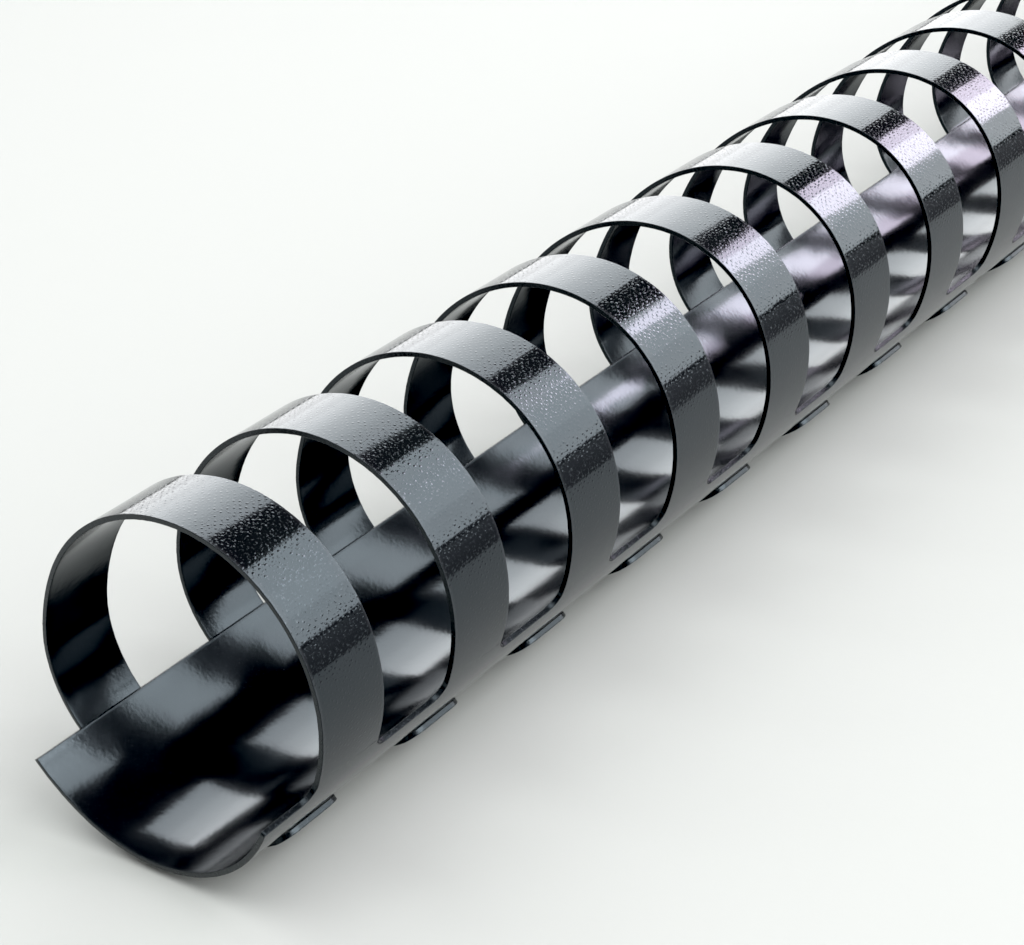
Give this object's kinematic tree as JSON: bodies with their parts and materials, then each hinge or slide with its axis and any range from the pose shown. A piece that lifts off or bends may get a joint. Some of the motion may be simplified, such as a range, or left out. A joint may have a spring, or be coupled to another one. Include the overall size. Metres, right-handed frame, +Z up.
{
  "type": "plastic binding comb",
  "caption": "Curled plastic binding comb: a curved spine with a row of flat springy rings that open to take punched pages and close round them.",
  "frame": {"origin": "bottom centre of the bounding box, with the comb lying at rest on its rings", "axes": "+X along the comb, +Z up, +Y towards the side where the spine's lip is"},
  "size_m": [0.2736, 0.0316, 0.0293],
  "materials": {
    "comb_sheet": "black PVC, finely embossed semi-gloss outside and smooth gloss inside"
  },
  "bodies": {
    "spine": {"spine": "comb_sheet", "finger_01_root": "comb_sheet", "finger_02_root": "comb_sheet", "finger_03_root": "comb_sheet", "finger_04_root": "comb_sheet", "finger_05_root": "comb_sheet", "finger_06_root": "comb_sheet", "finger_07_root": "comb_sheet", "finger_08_root": "comb_sheet", "finger_09_root": "comb_sheet", "finger_10_root": "comb_sheet", "finger_11_root": "comb_sheet", "finger_12_root": "comb_sheet", "finger_13_root": "comb_sheet", "finger_14_root": "comb_sheet", "finger_15_root": "comb_sheet", "finger_16_root": "comb_sheet", "finger_17_root": "comb_sheet", "finger_18_root": "comb_sheet", "finger_19_root": "comb_sheet"},
    "finger_01_arch": {"finger_01_arch": "comb_sheet"},
    "finger_01_tip": {"finger_01_tip": "comb_sheet"},
    "finger_02_arch": {"finger_02_arch": "comb_sheet"},
    "finger_02_tip": {"finger_02_tip": "comb_sheet"},
    "finger_03_arch": {"finger_03_arch": "comb_sheet"},
    "finger_03_tip": {"finger_03_tip": "comb_sheet"},
    "finger_04_arch": {"finger_04_arch": "comb_sheet"},
    "finger_04_tip": {"finger_04_tip": "comb_sheet"},
    "finger_05_arch": {"finger_05_arch": "comb_sheet"},
    "finger_05_tip": {"finger_05_tip": "comb_sheet"},
    "finger_06_arch": {"finger_06_arch": "comb_sheet"},
    "finger_06_tip": {"finger_06_tip": "comb_sheet"},
    "finger_07_arch": {"finger_07_arch": "comb_sheet"},
    "finger_07_tip": {"finger_07_tip": "comb_sheet"},
    "finger_08_arch": {"finger_08_arch": "comb_sheet"},
    "finger_08_tip": {"finger_08_tip": "comb_sheet"},
    "finger_09_arch": {"finger_09_arch": "comb_sheet"},
    "finger_09_tip": {"finger_09_tip": "comb_sheet"},
    "finger_10_arch": {"finger_10_arch": "comb_sheet"},
    "finger_10_tip": {"finger_10_tip": "comb_sheet"},
    "finger_11_arch": {"finger_11_arch": "comb_sheet"},
    "finger_11_tip": {"finger_11_tip": "comb_sheet"},
    "finger_12_arch": {"finger_12_arch": "comb_sheet"},
    "finger_12_tip": {"finger_12_tip": "comb_sheet"},
    "finger_13_arch": {"finger_13_arch": "comb_sheet"},
    "finger_13_tip": {"finger_13_tip": "comb_sheet"},
    "finger_14_arch": {"finger_14_arch": "comb_sheet"},
    "finger_14_tip": {"finger_14_tip": "comb_sheet"},
    "finger_15_arch": {"finger_15_arch": "comb_sheet"},
    "finger_15_tip": {"finger_15_tip": "comb_sheet"},
    "finger_16_arch": {"finger_16_arch": "comb_sheet"},
    "finger_16_tip": {"finger_16_tip": "comb_sheet"},
    "finger_17_arch": {"finger_17_arch": "comb_sheet"},
    "finger_17_tip": {"finger_17_tip": "comb_sheet"},
    "finger_18_arch": {"finger_18_arch": "comb_sheet"},
    "finger_18_tip": {"finger_18_tip": "comb_sheet"},
    "finger_19_arch": {"finger_19_arch": "comb_sheet"},
    "finger_19_tip": {"finger_19_tip": "comb_sheet"}
  },
  "joints": [
    {"name": "finger_01_flex", "type": "hinge", "parent": "spine", "child": "finger_01_arch", "pos_m": [-0.12859, -0.01463, 0.02295], "axis": [1, 0, 0], "range_deg": [0, 36], "stiffness_Nm_per_rad": 0.0034, "springref_deg": -17.19},
    {"name": "finger_01_tip_flex", "type": "hinge", "parent": "finger_01_arch", "child": "finger_01_tip", "pos_m": [-0.12859, 0.01449, 0.01702], "axis": [1, 0, 0], "range_deg": [0, 54], "stiffness_Nm_per_rad": 0.0034, "springref_deg": -17.19},
    {"name": "finger_02_flex", "type": "hinge", "parent": "spine", "child": "finger_02_arch", "pos_m": [-0.1143, -0.01463, 0.02295], "axis": [1, 0, 0], "range_deg": [0, 36], "stiffness_Nm_per_rad": 0.0034, "springref_deg": -17.19},
    {"name": "finger_02_tip_flex", "type": "hinge", "parent": "finger_02_arch", "child": "finger_02_tip", "pos_m": [-0.1143, 0.01449, 0.01702], "axis": [1, 0, 0], "range_deg": [0, 54], "stiffness_Nm_per_rad": 0.0034, "springref_deg": -17.19},
    {"name": "finger_03_flex", "type": "hinge", "parent": "spine", "child": "finger_03_arch", "pos_m": [-0.10001, -0.01463, 0.02295], "axis": [1, 0, 0], "range_deg": [0, 36], "stiffness_Nm_per_rad": 0.0034, "springref_deg": -17.19},
    {"name": "finger_03_tip_flex", "type": "hinge", "parent": "finger_03_arch", "child": "finger_03_tip", "pos_m": [-0.10001, 0.01449, 0.01702], "axis": [1, 0, 0], "range_deg": [0, 54], "stiffness_Nm_per_rad": 0.0034, "springref_deg": -17.19},
    {"name": "finger_04_flex", "type": "hinge", "parent": "spine", "child": "finger_04_arch", "pos_m": [-0.08572, -0.01463, 0.02295], "axis": [1, 0, 0], "range_deg": [0, 36], "stiffness_Nm_per_rad": 0.0034, "springref_deg": -17.19},
    {"name": "finger_04_tip_flex", "type": "hinge", "parent": "finger_04_arch", "child": "finger_04_tip", "pos_m": [-0.08572, 0.01449, 0.01702], "axis": [1, 0, 0], "range_deg": [0, 54], "stiffness_Nm_per_rad": 0.0034, "springref_deg": -17.19},
    {"name": "finger_05_flex", "type": "hinge", "parent": "spine", "child": "finger_05_arch", "pos_m": [-0.07144, -0.01463, 0.02295], "axis": [1, 0, 0], "range_deg": [0, 36], "stiffness_Nm_per_rad": 0.0034, "springref_deg": -17.19},
    {"name": "finger_05_tip_flex", "type": "hinge", "parent": "finger_05_arch", "child": "finger_05_tip", "pos_m": [-0.07144, 0.01449, 0.01702], "axis": [1, 0, 0], "range_deg": [0, 54], "stiffness_Nm_per_rad": 0.0034, "springref_deg": -17.19},
    {"name": "finger_06_flex", "type": "hinge", "parent": "spine", "child": "finger_06_arch", "pos_m": [-0.05715, -0.01463, 0.02295], "axis": [1, 0, 0], "range_deg": [0, 36], "stiffness_Nm_per_rad": 0.0034, "springref_deg": -17.19},
    {"name": "finger_06_tip_flex", "type": "hinge", "parent": "finger_06_arch", "child": "finger_06_tip", "pos_m": [-0.05715, 0.01449, 0.01702], "axis": [1, 0, 0], "range_deg": [0, 54], "stiffness_Nm_per_rad": 0.0034, "springref_deg": -17.19},
    {"name": "finger_07_flex", "type": "hinge", "parent": "spine", "child": "finger_07_arch", "pos_m": [-0.04286, -0.01463, 0.02295], "axis": [1, 0, 0], "range_deg": [0, 36], "stiffness_Nm_per_rad": 0.0034, "springref_deg": -17.19},
    {"name": "finger_07_tip_flex", "type": "hinge", "parent": "finger_07_arch", "child": "finger_07_tip", "pos_m": [-0.04286, 0.01449, 0.01702], "axis": [1, 0, 0], "range_deg": [0, 54], "stiffness_Nm_per_rad": 0.0034, "springref_deg": -17.19},
    {"name": "finger_08_flex", "type": "hinge", "parent": "spine", "child": "finger_08_arch", "pos_m": [-0.02857, -0.01463, 0.02295], "axis": [1, 0, 0], "range_deg": [0, 36], "stiffness_Nm_per_rad": 0.0034, "springref_deg": -17.19},
    {"name": "finger_08_tip_flex", "type": "hinge", "parent": "finger_08_arch", "child": "finger_08_tip", "pos_m": [-0.02857, 0.01449, 0.01702], "axis": [1, 0, 0], "range_deg": [0, 54], "stiffness_Nm_per_rad": 0.0034, "springref_deg": -17.19},
    {"name": "finger_09_flex", "type": "hinge", "parent": "spine", "child": "finger_09_arch", "pos_m": [-0.01429, -0.01463, 0.02295], "axis": [1, 0, 0], "range_deg": [0, 36], "stiffness_Nm_per_rad": 0.0034, "springref_deg": -17.19},
    {"name": "finger_09_tip_flex", "type": "hinge", "parent": "finger_09_arch", "child": "finger_09_tip", "pos_m": [-0.01429, 0.01449, 0.01702], "axis": [1, 0, 0], "range_deg": [0, 54], "stiffness_Nm_per_rad": 0.0034, "springref_deg": -17.19},
    {"name": "finger_10_flex", "type": "hinge", "parent": "spine", "child": "finger_10_arch", "pos_m": [0, -0.01463, 0.02295], "axis": [1, 0, 0], "range_deg": [0, 36], "stiffness_Nm_per_rad": 0.0034, "springref_deg": -17.19},
    {"name": "finger_10_tip_flex", "type": "hinge", "parent": "finger_10_arch", "child": "finger_10_tip", "pos_m": [0, 0.01449, 0.01702], "axis": [1, 0, 0], "range_deg": [0, 54], "stiffness_Nm_per_rad": 0.0034, "springref_deg": -17.19},
    {"name": "finger_11_flex", "type": "hinge", "parent": "spine", "child": "finger_11_arch", "pos_m": [0.01429, -0.01463, 0.02295], "axis": [1, 0, 0], "range_deg": [0, 36], "stiffness_Nm_per_rad": 0.0034, "springref_deg": -17.19},
    {"name": "finger_11_tip_flex", "type": "hinge", "parent": "finger_11_arch", "child": "finger_11_tip", "pos_m": [0.01429, 0.01449, 0.01702], "axis": [1, 0, 0], "range_deg": [0, 54], "stiffness_Nm_per_rad": 0.0034, "springref_deg": -17.19},
    {"name": "finger_12_flex", "type": "hinge", "parent": "spine", "child": "finger_12_arch", "pos_m": [0.02857, -0.01463, 0.02295], "axis": [1, 0, 0], "range_deg": [0, 36], "stiffness_Nm_per_rad": 0.0034, "springref_deg": -17.19},
    {"name": "finger_12_tip_flex", "type": "hinge", "parent": "finger_12_arch", "child": "finger_12_tip", "pos_m": [0.02857, 0.01449, 0.01702], "axis": [1, 0, 0], "range_deg": [0, 54], "stiffness_Nm_per_rad": 0.0034, "springref_deg": -17.19},
    {"name": "finger_13_flex", "type": "hinge", "parent": "spine", "child": "finger_13_arch", "pos_m": [0.04286, -0.01463, 0.02295], "axis": [1, 0, 0], "range_deg": [0, 36], "stiffness_Nm_per_rad": 0.0034, "springref_deg": -17.19},
    {"name": "finger_13_tip_flex", "type": "hinge", "parent": "finger_13_arch", "child": "finger_13_tip", "pos_m": [0.04286, 0.01449, 0.01702], "axis": [1, 0, 0], "range_deg": [0, 54], "stiffness_Nm_per_rad": 0.0034, "springref_deg": -17.19},
    {"name": "finger_14_flex", "type": "hinge", "parent": "spine", "child": "finger_14_arch", "pos_m": [0.05715, -0.01463, 0.02295], "axis": [1, 0, 0], "range_deg": [0, 36], "stiffness_Nm_per_rad": 0.0034, "springref_deg": -17.19},
    {"name": "finger_14_tip_flex", "type": "hinge", "parent": "finger_14_arch", "child": "finger_14_tip", "pos_m": [0.05715, 0.01449, 0.01702], "axis": [1, 0, 0], "range_deg": [0, 54], "stiffness_Nm_per_rad": 0.0034, "springref_deg": -17.19},
    {"name": "finger_15_flex", "type": "hinge", "parent": "spine", "child": "finger_15_arch", "pos_m": [0.07144, -0.01463, 0.02295], "axis": [1, 0, 0], "range_deg": [0, 36], "stiffness_Nm_per_rad": 0.0034, "springref_deg": -17.19},
    {"name": "finger_15_tip_flex", "type": "hinge", "parent": "finger_15_arch", "child": "finger_15_tip", "pos_m": [0.07144, 0.01449, 0.01702], "axis": [1, 0, 0], "range_deg": [0, 54], "stiffness_Nm_per_rad": 0.0034, "springref_deg": -17.19},
    {"name": "finger_16_flex", "type": "hinge", "parent": "spine", "child": "finger_16_arch", "pos_m": [0.08572, -0.01463, 0.02295], "axis": [1, 0, 0], "range_deg": [0, 36], "stiffness_Nm_per_rad": 0.0034, "springref_deg": -17.19},
    {"name": "finger_16_tip_flex", "type": "hinge", "parent": "finger_16_arch", "child": "finger_16_tip", "pos_m": [0.08572, 0.01449, 0.01702], "axis": [1, 0, 0], "range_deg": [0, 54], "stiffness_Nm_per_rad": 0.0034, "springref_deg": -17.19},
    {"name": "finger_17_flex", "type": "hinge", "parent": "spine", "child": "finger_17_arch", "pos_m": [0.10001, -0.01463, 0.02295], "axis": [1, 0, 0], "range_deg": [0, 36], "stiffness_Nm_per_rad": 0.0034, "springref_deg": -17.19},
    {"name": "finger_17_tip_flex", "type": "hinge", "parent": "finger_17_arch", "child": "finger_17_tip", "pos_m": [0.10001, 0.01449, 0.01702], "axis": [1, 0, 0], "range_deg": [0, 54], "stiffness_Nm_per_rad": 0.0034, "springref_deg": -17.19},
    {"name": "finger_18_flex", "type": "hinge", "parent": "spine", "child": "finger_18_arch", "pos_m": [0.1143, -0.01463, 0.02295], "axis": [1, 0, 0], "range_deg": [0, 36], "stiffness_Nm_per_rad": 0.0034, "springref_deg": -17.19},
    {"name": "finger_18_tip_flex", "type": "hinge", "parent": "finger_18_arch", "child": "finger_18_tip", "pos_m": [0.1143, 0.01449, 0.01702], "axis": [1, 0, 0], "range_deg": [0, 54], "stiffness_Nm_per_rad": 0.0034, "springref_deg": -17.19},
    {"name": "finger_19_flex", "type": "hinge", "parent": "spine", "child": "finger_19_arch", "pos_m": [0.12859, -0.01463, 0.02295], "axis": [1, 0, 0], "range_deg": [0, 36], "stiffness_Nm_per_rad": 0.0034, "springref_deg": -17.19},
    {"name": "finger_19_tip_flex", "type": "hinge", "parent": "finger_19_arch", "child": "finger_19_tip", "pos_m": [0.12859, 0.01449, 0.01702], "axis": [1, 0, 0], "range_deg": [0, 54], "stiffness_Nm_per_rad": 0.0034, "springref_deg": -17.19}
  ],
  "couplings": [
    {"joint": "finger_01_tip_flex", "follows": "finger_01_flex", "ratio": 1.5},
    {"joint": "finger_02_tip_flex", "follows": "finger_02_flex", "ratio": 1.5},
    {"joint": "finger_03_tip_flex", "follows": "finger_03_flex", "ratio": 1.5},
    {"joint": "finger_04_tip_flex", "follows": "finger_04_flex", "ratio": 1.5},
    {"joint": "finger_05_tip_flex", "follows": "finger_05_flex", "ratio": 1.5},
    {"joint": "finger_06_tip_flex", "follows": "finger_06_flex", "ratio": 1.5},
    {"joint": "finger_07_tip_flex", "follows": "finger_07_flex", "ratio": 1.5},
    {"joint": "finger_08_tip_flex", "follows": "finger_08_flex", "ratio": 1.5},
    {"joint": "finger_09_tip_flex", "follows": "finger_09_flex", "ratio": 1.5},
    {"joint": "finger_10_tip_flex", "follows": "finger_10_flex", "ratio": 1.5},
    {"joint": "finger_11_tip_flex", "follows": "finger_11_flex", "ratio": 1.5},
    {"joint": "finger_12_tip_flex", "follows": "finger_12_flex", "ratio": 1.5},
    {"joint": "finger_13_tip_flex", "follows": "finger_13_flex", "ratio": 1.5},
    {"joint": "finger_14_tip_flex", "follows": "finger_14_flex", "ratio": 1.5},
    {"joint": "finger_15_tip_flex", "follows": "finger_15_flex", "ratio": 1.5},
    {"joint": "finger_16_tip_flex", "follows": "finger_16_flex", "ratio": 1.5},
    {"joint": "finger_17_tip_flex", "follows": "finger_17_flex", "ratio": 1.5},
    {"joint": "finger_18_tip_flex", "follows": "finger_18_flex", "ratio": 1.5},
    {"joint": "finger_19_tip_flex", "follows": "finger_19_flex", "ratio": 1.5}
  ]
}
